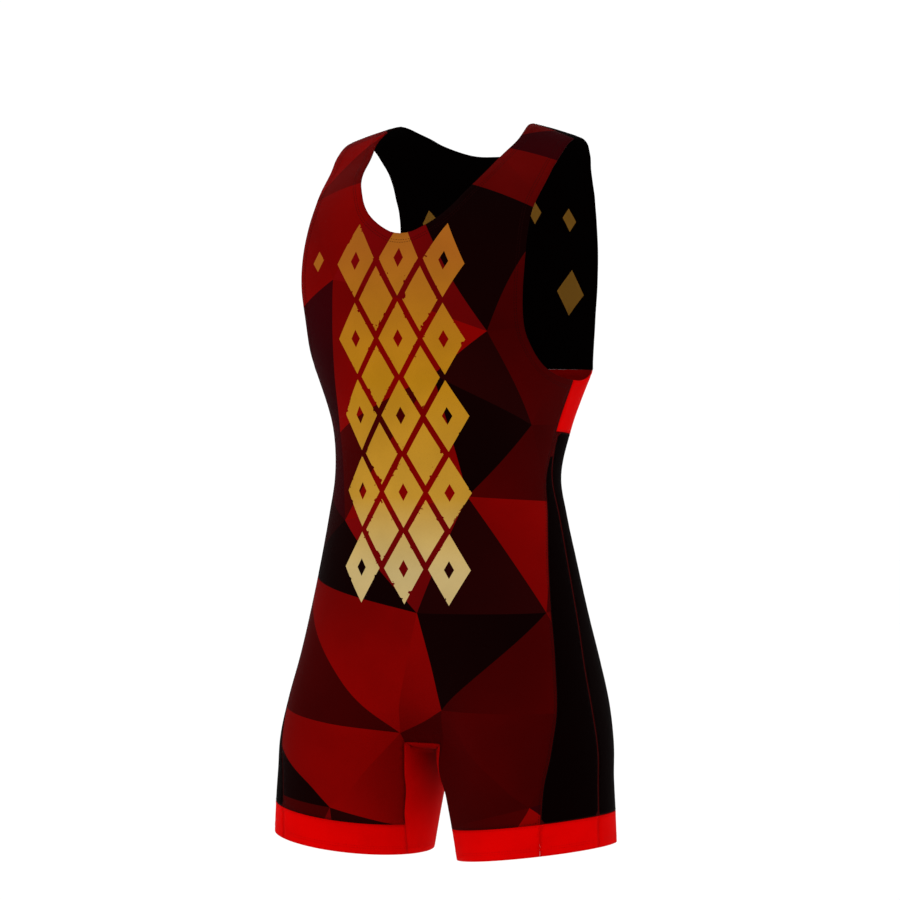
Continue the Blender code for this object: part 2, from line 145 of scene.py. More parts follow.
def smoothCurve(xs, ys, x):  # a smooth curve through knots, read at one place
    slopes = np.gradient(ys, xs)
    k = int(np.clip(np.searchsorted(xs, x) - 1, 0, len(xs) - 2))
    width = xs[k + 1] - xs[k]
    t = (x - xs[k]) / width
    return ((1 + 2 * t) * (1 - t) ** 2 * ys[k] + t * (1 - t) ** 2 * width * slopes[k]
            + t * t * (3 - 2 * t) * ys[k + 1] + t * t * (t - 1) * width * slopes[k + 1])


def unit(vectors):
    return vectors / np.linalg.norm(vectors, axis=-1, keepdims=True)


def travelled(steps):  # the way gone along a line, at each of its points
    return np.concatenate([[0.0], np.cumsum(steps)])


def ease(low, high, value):
    share = np.clip((value - low) / (high - low), 0.0, 1.0)
    return share * share * (3.0 - 2.0 * share)


@lru_cache(maxsize=None)
def formAt(name, station):
    rows = np.array(wornForm["rows"], float)
    return float(smoothCurve(rows[:, 0], rows[:, wornForm["columns"].index(name)], station))


def legTilt(station):
    return wornForm["hemTilt"] * (1.0 - ease(*wornForm["tiltLevels"], station))


@lru_cache(maxsize=None)
def halfRow(station, face):  # from the side line round to the middle plane or the gusset
    side = face.capitalize()
    peak, middleDepth = formAt(face, station), formAt("middle" + side, station)
    lobe, halfWidth = formAt("lobe", station), formAt("halfWidth", station)
    sideDepth, power = formAt("side", station), 2.0 / formAt("square" + side, station)
    turn = np.linspace(math.pi / 2, 0.0, wornForm["outerSamples"])
    outerX = lobe + (halfWidth - lobe) * np.sin(turn) ** power
    outerY = sideDepth + (peak - sideDepth) * np.cos(turn) ** power
    onLeg = station < crotch
    samples = wornForm["innerSamples"]
    innerX = np.linspace(lobe, wornForm["gussetWidth"] / 2 if onLeg else 0.0, samples)
    innerY = peak + (middleDepth - peak) * (1 + np.cos(math.pi * innerX / lobe)) / 2
    if onLeg:
        depth = np.interp(station, *zip(*wornForm["gussetSeam"]))
        sweep = np.linspace(0.0, math.acos(depth / abs(peak)), samples)
        ring = 1.0 - ease(*wornForm["ringLevels"], station)
        innerX += ring * (lobe - (halfWidth - lobe) * np.sin(sweep) - innerX)
        innerY += ring * (peak * np.cos(sweep) - innerY)
    x = np.concatenate([outerX, innerX[1:]])
    y = np.concatenate([outerY, innerY[1:]])
    z = (formAt("height", station) + legTilt(station) * (x - lobe)
         - formAt("droop", station) * (x / wornForm["shoulderEnd"]) ** 2)
    points = np.stack([x, y, z], axis=1)
    steps = np.linalg.norm(np.diff(points[:, :2], axis=0), axis=1)
    return travelled(steps), points


def allRows(face):
    step = wornForm["rowStep"]
    levels = [*np.arange(0.0, crotch, step), legTop, *np.arange(crotch, ridge + 1, step)]
    rows = [halfRow(float(level), face) for level in levels]
    return {"levels": np.array(levels), "reach": [row[0] for row in rows],
            "points": [row[1] for row in rows], "length": np.array([row[0][-1] for row in rows])}


formRows = {face: allRows(face) for face in ("front", "back")}
legShift = {face: halfRow(crotch, face)[0][-1] - halfRow(legTop, face)[0][-1]
            for face in ("front", "back")}
print("worn form laid out in", 2 * len(formRows["front"]["levels"]), "rows")


def rowLength(face, stations):  # from the side line to the middle plane, or to the gusset's seam
    stations = np.asarray(stations, float)
    other = "back" if face == "front" else "front"
    here = np.interp(stations, formRows[face]["levels"], formRows[face]["length"])
    over = np.interp(2 * ridge - stations, formRows[other]["levels"], formRows[other]["length"])
    return np.where(stations > ridge, over, here)


def formPoints(rounds, stations):  # rounds count from the side line, + to the back, - to the front
    over = stations > ridge
    levels = np.where(over, 2 * ridge - stations, stations)
    turned = np.where(over, -rounds, rounds)
    found = np.zeros((len(rounds), 3))
    for face, mine in (("front", turned <= 0), ("back", turned > 0)):
        rows = formRows[face]
        below = np.searchsorted(rows["levels"], levels, side="right") - 1
        below = np.clip(below, 0, len(rows["levels"]) - 2)
        share = (levels - rows["levels"][below]) / (rows["levels"][below + 1] - rows["levels"][below])
        full = rows["length"][below] * (1 - share) + rows["length"][below + 1] * share
        part = np.abs(turned) / full
        for k in np.unique(below[mine]):
            here = np.nonzero(mine & (below == k))[0]
            ends = [np.stack([np.interp(part[here] * rows["length"][row], rows["reach"][row],
                                        rows["points"][row][:, axis]) for axis in range(3)], axis=1)
                    for row in (k, k + 1)]
            found[here] = ends[0] * (1 - share[here, None]) + ends[1] * share[here, None]
    return found


def formNormals(rounds, stations):
    step = wornForm["normalStep"]
    onLeg = stations < crotch
    low = np.where(onLeg, np.maximum(stations - step, 0.0), np.maximum(stations - step, crotch))
    high = np.where(onLeg, np.minimum(stations + step, legTop), stations + step)
    end = np.where(rounds > 0, rowLength("back", stations), rowLength("front", stations))
    along = (formPoints(np.minimum(rounds + step, end), stations)
             - formPoints(np.maximum(rounds - step, -end), stations))
    up = formPoints(rounds, high) - formPoints(rounds, low)
    return unit(np.cross(along, up))


# Pattern edges

def smoothLine(points, rise=0.0):
    knots = np.array(points, float)
    spans = travelled(np.linalg.norm(np.diff(knots, axis=0), axis=1))
    count = max(2, int(round(spans[-1] / cloth["edgeStep"])) + 1)
    places = np.linspace(0.0, spans[-1], count)
    r, s = ([float(smoothCurve(spans, knots[:, axis], along)) for along in places] for axis in (0, 1))
    return [(a, b + rise) for a, b in zip(r, s)]


def roundAt(curve, station):
    stations, rounds = np.array(sorted((s, r) for r, s in curve), float).T
    return float(smoothCurve(stations, rounds, station))


def stops(low, high):
    step = cloth["edgeStep"]
    inner = [k * step for k in range(math.ceil(low / step), int(high / step) + 1)]
    return [low] + [v for v in inner if low + step / 3 < v < high - step / 3] + [high]


def upSeam(curve, low, high, shift):
    return [(roundAt(curve, s) + shift, s) for s in stops(low, high)]


def across(station, low, high):
    return [(r, station) for r in stops(low, high)]


def legSeam(face, station):
    sign = -1.0 if face == "front" else 1.0
    return sign * (float(rowLength(face, min(station, legTop))) - cloth["seamGap"])


def gussetSide(face, low, high):
    return [(legSeam(face, s), min(s, legTop)) for s in stops(low, high)]


def sewnRuns(*runs):  # one line from runs of edge, with the kind of each stretch
    line, kinds = [], []
    for kind, points in runs:
        for point in points:
            if not line or math.dist(point, line[-1]) > 1.0:
                if line:
                    kinds.append(kind)
                line.append(point)
    return line, kinds


def stripOutline(*runs):
    line, kinds = sewnRuns(*runs)
    if math.dist(line[0], line[-1]) <= 1.0:
        line.pop()
    else:
        kinds.append(runs[-1][0])
    return np.array(line), kinds


def wideOutline(face, *runs):  # a panel across the body: its left half and the half's mirror image
    line, kinds = sewnRuns(*runs)
    r, v = np.array(line).T
    u = rowLength(face, v) - (r if face == "back" else -r) + np.where(v < crotch, legShift[face], 0.0)
    u[[0, -1]] = 0.0
    half = np.stack([u, v], axis=1)
    mirrored = half[1:-1][::-1] * (-1, 1)
    return np.concatenate([half, mirrored]), kinds + kinds[::-1]


def insideOf(points, ring):
    ring = np.asarray(ring, float)
    x, y = points.T
    inside = np.zeros(len(points), bool)
    for (x0, y0), (x1, y1) in zip(ring, np.roll(ring, -1, axis=0)):
        if y0 != y1:
            inside ^= ((y0 > y) != (y1 > y)) & (x < x0 + (y - y0) / (y1 - y0) * (x1 - x0))
    return inside


def distanceTo(points, starts, ends):
    nearest = np.full(len(points), 1e6)
    for start, end in zip(starts, ends):
        side = end - start
        t = np.clip((points - start) @ side / max(side @ side, 1e-9), 0, 1)
        gap = points - start - t[:, None] * side
        nearest = np.minimum(nearest, (gap ** 2).sum(axis=1))
    return np.sqrt(nearest)


def sidesOf(rings):
    return np.concatenate(rings), np.concatenate([np.roll(ring, -1, axis=0) for ring in rings])


def divided(ring, step=8.0):  # a closed line with a point at least every step
    found, ring = [], np.asarray(ring, float)
    for start, end in zip(ring, np.roll(ring, -1, axis=0)):
        count = max(1, math.ceil(math.dist(start, end) / step))
        found += [start + (end - start) * k / count for k in range(count)]
    return np.array(found)


def fillPattern(outline, printLines=()):  # triangles inside an outline that keep to the print's lines
    cell, rowShare = cloth["cell"], cloth["rowShare"]
    low, high = outline.min(axis=0), outline.max(axis=0)
    rows, columns = np.mgrid[0:int((high[1] - low[1]) / (cell * rowShare)) + 1,
                             0:int((high[0] - low[0]) / cell) + 2]
    grid = np.stack([low[0] + (columns + 0.5 * (rows % 2)) * cell,
                     low[1] + (rows + 0.5) * cell * rowShare], axis=-1).reshape(-1, 2)
    rings = [outline] + [divided(ring) for ring in printLines]
    starts, ends = sidesOf(rings)
    grid = grid[insideOf(grid, outline)]
    grid = grid[distanceTo(grid, starts, ends) > cell * cloth["keepOff"]]
    edges, base = [], 0
    for ring in rings:
        edges += [(base + k, base + (k + 1) % len(ring)) for k in range(len(ring))]
        base += len(ring)
    seeds = [Vector(point) for point in np.concatenate([starts, grid])]
    flat, _, faces, *_ = delaunay_2d_cdt(seeds, edges, [], 1, 1e-3)
    flat = np.array([tuple(point) for point in flat])
    faces = np.array([tuple(face) for face in faces])
    faces = faces[insideOf(flat[faces].mean(axis=1), outline)]
    used, faces = np.unique(faces, return_inverse=True)
    return flat[used], faces.reshape(-1, 3)


def openEdges(faces):
    pairs = np.concatenate([faces[:, [0, 1]], faces[:, [1, 2]], faces[:, [2, 0]]])
    known = {tuple(pair) for pair in pairs.tolist()}
    return np.array([pair for pair in known if pair[::-1] not in known])


def clothShell(name, flat, faces, place, gaps, turned, material, tints=None):
    # one layer of knit: outer skin, inner skin and a rounded edge that meets its neighbour's
    outer, normals = place(flat)
    seamGap, hemGap = gaps(flat)
    wall = cloth["hemWall"] + (cloth["wall"] - cloth["hemWall"]) * ease(
        cloth["hemDepth"] - cloth["hemBlend"], cloth["hemDepth"], hemGap)
    inner = outer - normals * wall[:, None]
    rim = openEdges(faces)
    outward = np.zeros_like(flat)
    for a, b in rim:
        side = flat[b] - flat[a]
        outward[[a, b]] += unit(np.array([side[1], -side[0]]))
    ring = np.unique(rim)
    outward = outward[ring] / np.maximum(np.linalg.norm(outward[ring], axis=1), 1e-6)[:, None]
    probe = cloth["edgeProbe"]
    bulge = outer[ring] - normals[ring] * wall[ring, None] / 2
    bulge += (place(flat[ring] + outward * probe)[0] - outer[ring]) * cloth["edgeBulge"] / probe
    count = len(flat)
    order = {int(k): 2 * count + i for i, k in enumerate(ring)}
    points = np.concatenate([outer, inner, bulge])
    loops = [tuple(face) for face in faces] + [tuple(face[::-1] + count) for face in faces]
    for a, b in rim.tolist():
        loops.append((b, a, order[a], order[b]))
        loops.append((order[b], order[a], a + count, b + count))
    if turned:
        loops = [loop[::-1] for loop in loops]
    patternAt = np.concatenate([flat, flat, flat[ring]])
    mesh = bpy.data.meshes.new(name)
    mesh.from_pydata([tuple(point) for point in placed(points)], [],
                     [tuple(map(int, loop)) for loop in loops])
    mesh.shade_smooth()
    mesh.materials.append(material)
    corners = np.concatenate([np.array(loop, int) for loop in loops])
    mesh.uv_layers.new(name="pattern").data.foreach_set(
        "uv", (patternAt[corners] * mm).astype(np.float32).ravel())
    layers = {"seamGap": np.concatenate([seamGap, seamGap, seamGap[ring]]),
              "inside": np.repeat([0.0, 1.0, 0.5], [count, count, len(ring)])}
    for label, values in layers.items():
        mesh.attributes.new(label, "FLOAT", "POINT").data.foreach_set("value", values)
    if tints is not None:
        colours, golds = tints(flat, faces)
        owners = list(range(len(faces))) * 2
        edgeOwner = {}
        for f, (a, b, c) in enumerate(faces.tolist()):
            edgeOwner.update({(a, b): f, (b, c): f, (c, a): f})
        for a, b in rim.tolist():
            owners += [edgeOwner[(a, b)]] * 2
        cornerOwner = np.repeat(owners, [len(loop) for loop in loops])
        for label, values in (("tint", colours), ("gold", golds)):
            layer = mesh.attributes.new(label, "FLOAT_COLOR", "CORNER")
            found = values(cornerOwner, patternAt[corners])
            layer.data.foreach_set("color", found.astype(np.float32).ravel())
    return shown(name, mesh)


def onForm(rounds, stations, side):
    return formPoints(rounds, stations) * side, formNormals(rounds, stations) * side


def placeWide(face):
    def place(flat):
        u, v = flat.T
        reach = rowLength(face, v) + np.where(v < crotch, legShift[face], 0.0) - np.abs(u)
        rounds = reach if face == "back" else -reach
        side = np.stack([np.where(u < 0, -1.0, 1.0), np.ones_like(u), np.ones_like(u)], axis=1)
        return onForm(rounds, v, side)
    return place


def placeSide(sign):
    return lambda flat: onForm(*flat.T, (sign, 1, 1))


def edgeGaps(outline, kinds):  # distance from the nearest seam and from the nearest free edge
    ends = np.roll(outline, -1, axis=0)
    kinds = np.array(kinds)

    def gaps(flat):
        away = [distanceTo(flat, outline[kinds == kind], ends[kinds == kind]) for kind in ("sewn", "free")]
        return np.minimum(away, cloth["feltTo"])
    return gaps


def signedArea(outline):
    x, y = outline.T
    return (np.dot(x, np.roll(y, -1)) - np.dot(y, np.roll(x, -1))) / 2


# Finishes

def linear(*colour):
    shares = [value / 255 for value in colour]
    return tuple(s / 12.92 if s <= 0.04045 else ((s + 0.055) / 1.055) ** 2.4 for s in shares)


def addNode(tree, kind, inputs=None, **settings):
    node = tree.nodes.new(kind)
    for name, value in settings.items():
        setattr(node, name, value)
    for key, value in (inputs or {}).items():
        if isinstance(value, bpy.types.NodeSocket):
            tree.links.new(value, node.inputs[key])
        else:
            node.inputs[key].default_value = value
    return node


def maths(tree, operation, first, second=0.0, third=None):
    inputs = {0: first, 1: second}
    if third is not None:
        inputs[2] = third
    return addNode(tree, "ShaderNodeMath", inputs, operation=operation).outputs[0]


def mapped(tree, value, fromLow, fromHigh, low, high):
    return addNode(tree, "ShaderNodeMapRange", {
        "Value": value, "From Min": fromLow, "From Max": fromHigh, "To Min": low, "To Max": high,
    }, interpolation_type="SMOOTHSTEP").outputs[0]


def noise(tree, place, scale, **more):
    return addNode(tree, "ShaderNodeTexNoise", {"Vector": place, "Scale": scale, **more}).outputs[0]


def stored(tree, name, output="Fac"):
    return addNode(tree, "ShaderNodeAttribute", attribute_name=name).outputs[output]


def folded(tree, value):  # 0 in the middle of a stitch and 1 at its sides
    centred = maths(tree, "SUBTRACT", value, 0.5)
    return maths(tree, "MULTIPLY", maths(tree, "ABSOLUTE", centred), 2.0)


def effectGroup(name, inputs, outputs, kindOfTree="ShaderNodeTree"):
    tree = bpy.data.node_groups.new(name, kindOfTree)
    for label, kind, value in inputs:
        socket = tree.interface.new_socket(label, in_out="INPUT", socket_type="NodeSocket" + kind)
        if value is not None:
            socket.default_value = value
    for label, kind in outputs:
        tree.interface.new_socket(label, in_out="OUTPUT", socket_type="NodeSocket" + kind)
    return tree, tree.nodes.new("NodeGroupInput").outputs, tree.nodes.new("NodeGroupOutput").inputs


# Knit relief: columns of small V stitches, the cloth's slight unevenness, and the groove at a seam, with
# painted shade in the stitches' hollows and along the groove
knitLook = {
    "slantShare": -0.7, "loopShare": -0.3,
    "unevenScale": 55.0, "unevenHeight": 0.12,
    "grooveWidth": 1.6, "groove": -0.25,
    "bump": 0.8, "shadeSwing": 0.14, "shadeBase": 1.05, "seamShade": 0.92,
}
tree, given, result = effectGroup(
    "knitRelief",
    [("Pattern", "Vector", None), ("Wale", "Float", 0.0011), ("Course", "Float", 0.0009),
     ("Seam Gap", "Float", 10.0), ("Depth", "Float", 0.05)],
    [("Normal", "Vector"), ("Shade", "Float")])
axes = addNode(tree, "ShaderNodeSeparateXYZ", {0: given["Pattern"]}).outputs
wale = maths(tree, "FRACT", maths(tree, "DIVIDE", axes["X"], given["Wale"]))
slant = folded(tree, wale)
course = maths(tree, "FRACT", maths(tree, "MULTIPLY_ADD", slant, 0.5,
                                    maths(tree, "DIVIDE", axes["Y"], given["Course"])))
loop = folded(tree, course)
knit = maths(tree, "MULTIPLY_ADD", maths(tree, "MULTIPLY", slant, slant), knitLook["slantShare"],
             maths(tree, "MULTIPLY", maths(tree, "MULTIPLY", loop, loop), knitLook["loopShare"]))
uneven = noise(tree, given["Pattern"], knitLook["unevenScale"], Detail=3.0)
groove = mapped(tree, given["Seam Gap"], 0.0, knitLook["grooveWidth"], knitLook["groove"], 0.0)
height = maths(tree, "MULTIPLY_ADD", knit, given["Depth"], groove)
height = maths(tree, "MULTIPLY_ADD", uneven, knitLook["unevenHeight"], height)
bump = addNode(tree, "ShaderNodeBump", {"Strength": knitLook["bump"], "Distance": mm, "Height": height})
tree.links.new(bump.outputs[0], result["Normal"])
# painted shade and light: darker in the knit's hollows, lighter on its ridges, and darker along a seam's
# groove
shade = maths(tree, "MULTIPLY_ADD", knit, knitLook["shadeSwing"], knitLook["shadeBase"])
nearSeam = mapped(tree, given["Seam Gap"], 0.0, 1.0, knitLook["seamShade"], 1.0)
shade = maths(tree, "MULTIPLY", shade, nearSeam)
tree.links.new(shade, result["Shade"])
knitRelief = tree

# Worn print: where the gold has cracked off, most of all along its edges
tree, given, result = effectGroup(
    "printWear", [("Pattern", "Vector", None), ("Gold", "Float", 0.0), ("Rim", "Float", 0.0)],
    [("Left", "Float")])
coarse = noise(tree, given["Pattern"], 70.0, Detail=5.0, Roughness=0.62)
fine = noise(tree, given["Pattern"], 260.0, Detail=2.0)
rough = maths(tree, "MULTIPLY_ADD", fine, 0.25, coarse)
bite = maths(tree, "MULTIPLY_ADD", given["Rim"], 0.3, 0.715)  # rim is 0 on the edge, 1 well inside
chipped = maths(tree, "GREATER_THAN", rough, bite)
kept = maths(tree, "MULTIPLY", given["Gold"], maths(tree, "SUBTRACT", 1.0, chipped))
tree.links.new(kept, result["Left"])
printWear = tree


def toned(tree, colour, depth):
    inputs = {0: colour, "Scale": depth}
    return addNode(tree, "ShaderNodeVectorMath", inputs, operation="SCALE").outputs[0]


def blended(tree, share, first, second):
    return addNode(tree, "ShaderNodeMix", {0: share, 6: first, 7: second}, data_type="RGBA").outputs[2]


def plainFinish(name, roughness, gloss):
    material = bpy.data.materials.new(name)
    material.use_nodes = True
    shader = material.node_tree.nodes["Principled BSDF"].inputs
    shader["Roughness"].default_value = roughness
    shader["Specular IOR Level"].default_value = gloss
    return material, material.node_tree, shader


def knitFinish(name, colour, roughness, gloss, inner=1.0, printed=(), seamLine=None, paintedCrotchShade=None):
    material, tree, shader = plainFinish(name, roughness, gloss)
    shader["Sheen Weight"].default_value = 0.001
    shader["Sheen Roughness"].default_value = 0.5
    pattern = addNode(tree, "ShaderNodeUVMap", uv_map="pattern").outputs[0]
    seam = stored(tree, "seamGap")
    relief = addNode(tree, "ShaderNodeGroup", {"Pattern": pattern, "Seam Gap": seam}, node_tree=knitRelief)
    dye = noise(tree, pattern, 16.0, Detail=4.0)
    # the knit's painted shade, times a random dye tone
    depth = maths(tree, "MULTIPLY", relief.outputs["Shade"], mapped(tree, dye, 0.3, 0.7, 0.94, 1.06))
    # painted shade: the inner skin's colour is scaled down to the factor inner
    depth = maths(tree, "MULTIPLY", depth, mapped(tree, stored(tree, "inside"), 0.4, 1.0, 1.0, inner))
    if printed:
        base = stored(tree, "tint", "Color")
        share = addNode(tree, "ShaderNodeSeparateXYZ", {0: stored(tree, "gold", "Vector")}).outputs
        wear = addNode(tree, "ShaderNodeGroup", {"Pattern": pattern, "Gold": share["X"],
                                                 "Rim": share["Y"]}, node_tree=printWear)
        ramp = addNode(tree, "ShaderNodeValToRGB", {"Fac": share["Z"]})
        while len(ramp.color_ramp.elements) < len(printed):
            ramp.color_ramp.elements.new(0.5)
        for element, (place, shadeOfGold) in zip(ramp.color_ramp.elements, printed):
            element.position = place
            element.color = (*linear(*shadeOfGold), 1.0)
        base = blended(tree, wear.outputs["Left"], base, ramp.outputs["Color"])
    elif seamLine:
        line = mapped(tree, seam, 0.5, 1.1, 1.0, 0.0)
        base = blended(tree, line, (*linear(*colour), 1.0), (*linear(*seamLine), 1.0))
    else:
        base = linear(*colour)
    if paintedCrotchShade:  # painted shade: darker from the hem up to the crotch, the same on both legs, for the shade between the legs
        hem, top, least = paintedCrotchShade
        rise = mapped(tree, stored(tree, "fromHem"), hem, top, 1.0, least)
        depth = maths(tree, "MULTIPLY", depth, rise)
    tree.links.new(toned(tree, base, depth), shader["Base Color"])
    tree.links.new(relief.outputs["Normal"], shader["Normal"])
    return material


# The print: a patchwork of dark facets, and gold lozenges that pale towards the foot.
# Places are millimetres from the middle (+ to the wearer's left) and up the cloth.
goldShades = ((0.0, (186, 162, 108)), (0.1, (185, 154, 88)), (0.24, (178, 132, 42)),
              (0.6, (169, 116, 18)), (1.0, (154, 88, 24)))
backGoldShades = ((0.0, (122, 86, 30)), (1.0, (122, 86, 30)))
goldLevels = (330, 690)  # where the first and the last of those shades lie
facetTones = {
    "ground": (29, 1, 1), "night": (12, 0, 0), "jet": (2, 0, 0), "soot": (42, 0, 3),
    "plum": (59, 0, 0), "wine": (81, 2, 1), "garnet": (98, 2, 3), "ember": (110, 1, 0),
}
facets = {
    "across": 146.0, "up": 116.0,  # spacing of the corners
    "columns": 6, "rows": 10,
    "shift": 0.34,  # how far a corner strays, as a share of the spacing
    "seed": 13,
    "turn": 2.4,  # each facet's shading slants this much further round
    "shading": 0.22, "shadedOver": 70.0,
    "tones": ("night", "ground", "soot", "plum", "plum", "wine", "garnet", "ember"),
}


def facetPrint():  # a net of strayed corners, each of its quarters cut in two
    chance = np.random.default_rng(facets["seed"])
    step = np.array([facets["across"], facets["up"]])
    corners, rows, columns = {}, facets["rows"], facets["columns"]
    for row in range(rows):
        for column in range(columns):
            place = np.array([column - (columns - 1) / 2 + 0.5 * (row % 2), row - 0.5])
            corners[row, column] = (place + chance.uniform(-1, 1, 2) * facets["shift"]) * step
    tones = facets["tones"]
    found = []
    for row in range(rows - 1):
        for column in range(columns - 1):
            a, b = corners[row, column], corners[row, column + 1]
            c, d = corners[row + 1, column + 1], corners[row + 1, column]
            halves = ((a, b, d), (b, c, d)) if row % 2 == 0 else ((a, b, c), (a, c, d))
            found += [(tones[chance.integers(len(tones))], half) for half in halves]
    return found


def lozenge(u, v, width, height):
    return ((u, v - height), (u + width, v), (u, v + height), (u - width, v))


goldNet = {
    "rows": 9, "top": 680, "drop": 43,
    "pierced": {"places": (-56, 0, 56), "size": (25, 40), "hole": (6, 10)},
    "full": {"places": (-28, 28), "size": (22, 35)},
    "chest": (-112, 690, 9, 12),
    "backRows": (((-92, -46, 0, 46, 92), 737, (9, 15)), ((-96, 0, 96), 650, (19, 28))),
    "rim": 9.0,  # the gold is worn most this near to its edges
    "sound": 3.0,  # stands for the rim where nothing is worn
}
frontGold = []
for k in range(goldNet["rows"]):  # rows of three pierced lozenges and of two full ones
    kind = goldNet["full" if k % 2 else "pierced"]
    for u in kind["places"]:
        v = goldNet["top"] - goldNet["drop"] * k
        frontGold.append(("gold", lozenge(u, v, *kind["size"])))
        if "hole" in kind:
            frontGold.append(("bare", lozenge(u, v, *kind["hole"])))
frontGold.append(("gold", lozenge(*goldNet["chest"])))
backGold = [("gold", lozenge(u, v, *size)) for places, v, size in goldNet["backRows"] for u in places]


def printTints(ground, patches, ornaments, worn):
    rings = [np.array(ring, float) for _, ring in patches]
    marks = [np.array(ring, float) for _, ring in ornaments]
    starts, ends = sidesOf([ring for (kind, _), ring in zip(ornaments, marks) if kind == "gold"])
    tones = np.array([linear(*facetTones[tone]) for tone in (ground, *(tone for tone, _ in patches))])
    slants = np.array([0.0] + [(facets["turn"] * k) % math.tau for k in range(len(rings))])

    def tints(flat, faces):
        middles = flat[faces].mean(axis=1)
        tone = np.zeros(len(faces), int)
        for k, ring in enumerate(rings):
            tone[insideOf(middles, ring)] = k + 1
        golden = np.zeros(len(faces), bool)
        for (kind, _), ring in zip(ornaments, marks):
            golden[insideOf(middles, ring)] = kind == "gold"

        def colours(owner, here):
            mine = tone[owner]
            centres = np.array([(0, 0)] + [ring.mean(axis=0) for ring in rings])[mine]
            slant = slants[mine]
            along = ((here - centres) * np.stack([np.cos(slant), np.sin(slant)], axis=1)).sum(axis=1)
            lift = 1.0 + facets["shading"] * np.clip(along / facets["shadedOver"], -1, 1)
            lift = np.where(mine > 0, lift, 1.0)
            return np.concatenate([tones[mine] * lift[:, None], np.ones((len(owner), 1))], axis=1)

        def golds(owner, here):
            inner = np.full(len(here), goldNet["sound"])
            if worn:
                inner = np.clip(distanceTo(here, starts, ends) / goldNet["rim"], 0, 1)
            rise = np.interp(here[:, 1], goldLevels, (0.0, 1.0))
            return np.stack([golden[owner].astype(float), inner, rise, np.ones(len(here))], axis=1)
        return colours, golds
    return rings + marks, tints


printedKnit = knitFinish("printedDarkRedKnit", None, 0.78, 0.01, printed=goldShades)
blackKnit = knitFinish("blackKnit", (5, 0, 0), 0.8, 0.006, seamLine=(64, 4, 4))
printedBlackKnit = knitFinish("printedBlackKnit", None, 0.8, 0.006, printed=backGoldShades)
# painted shade: the inner skin of the bright red cloth is darkened to 0.3
redKnit = knitFinish("brightRedKnit", (203, 0, 0), 0.72, 0.006, inner=0.3)
# the inner-leg gusset carries painted shade, its colour falling to 0.27 towards the crotch
gussetKnit = knitFinish("innerLegRedKnit", (203, 0, 0), 0.72, 0.007, paintedCrotchShade=(0.02, 0.15, 0.27))
print("knit finishes made")

# Stitches: small raised threads along every line of sewing
stitching = {
    "spacing": 0.0031,
    "length": 0.0023,
    "thread": 0.00042,
    "beside": 1.7,  # millimetres from a seam
    "turnedIn": (7.0, 9.6),  # and from a free edge
    "lift": 0.06,
    "corner": 0.82,  # a sharper turn of the edge ends a line
    "cornerGap": 0.35,
    "endGap": 3.0,  # short of the hems
    "groups": {  # the colour of each group's thread, and its slot
        "front": ((34, 3, 3), "printed_dark_red_knit"),
        "upperBack": ((16, 8, 8), "black_knit"),
        "red": ((186, 0, 0), "bright_red_knit"),
        "lowerBack": ((16, 8, 8), "black_knit"),
        "sides": ((16, 8, 8), "black_knit"),
    },
}
stitchRuns = {group: [] for group in stitching["groups"]}


def sewingLines(group, outline, kinds, place):
    # lines of stitching beside each seam and above each free edge, kept clear of the corners
    ends = np.roll(outline, -1, axis=0)
    kinds = np.array(kinds)
    side = ends - outline
    inward = unit(np.stack([-side[:, 1], side[:, 0]], axis=1))
    if signedArea(outline) < 0:
        inward = -inward
    corners = (inward * np.roll(inward, 1, axis=0)).sum(axis=1) < stitching["corner"]
    breaks = [k for k in range(len(outline)) if corners[k] or kinds[k] != kinds[k - 1]]
    for first, last in zip(breaks, breaks[1:] + [breaks[0] + len(outline)]):
        run = [k % len(outline) for k in range(first, last)]
        insets = stitching["turnedIn"] if kinds[run[0]] == "free" else (stitching["beside"],)
        for inset in insets:
            points = [outline[k] + side[k] * share + inward[k] * inset for k in run for share in (0.0, 0.5)]
            points = np.array(points + [ends[run[-1]] + inward[run[-1]] * inset])
            points = points[distanceTo(points, outline, ends) > inset - stitching["cornerGap"]]
            if len(points) > 3:
                skin, normals = place(points)
                stitchRuns[group].append(placed(skin + normals * stitching["lift"]))


def handOver(piece, name):
    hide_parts(name)
    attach(piece, "root")


def makePanel(name, outline, kinds, place, turned, material, slot, group, lines=(), tints=None):
    flat, faces = fillPattern(outline, lines)
    piece = clothShell(name.title().replace("_", "") + "Cloth", flat, faces, place,
                       edgeGaps(outline, kinds), turned, material, tints)
    handOver(piece, name)
    sewingLines(group, outline, kinds, place)


# Front panel
frontFacets = facetPrint()
frontPanel = {
    "seam": ((-97, 0), (-95, 44), (-89, 98), (-80, 142), (-69, 178), (-56, 236), (-48, 302),
             (-40, 346), (-31, 380), (-22, 412), (-17, 446), (-16, 489), (-19, 546)),
    "armhole": ((-19, 546), (-36, 548), (-54, 552.5), (-76, 562.5), (-91, 575), (-103, 590),
                (-112, 605), (-118, 622), (-121.5, 640), (-124, 663), (-126.5, 686),
                (-129, 706), (-130, 728), (-129, 748), (-127, 770), (-124.5, 784), (-121, 798),
                (-117, 811), (-113, 828), (-111, 848), (-109, 868), (-104, 892), (-99, 908)),
    "neck": ((-154, 920), (-158, 896), (-162, 872), (-166, 850), (-170.5, 832), (-176, 817.5),
             (-181.5, 805), (-187, 794), (-193.5, 781), (-202.5, 765), (-216, 743), (-226.5, 731),
             (-239, 720.5), (-252, 712), (-264, 706.5), (-275.5, 705)),
    "bandTop": 36.0,
}
bandTop = frontPanel["bandTop"]
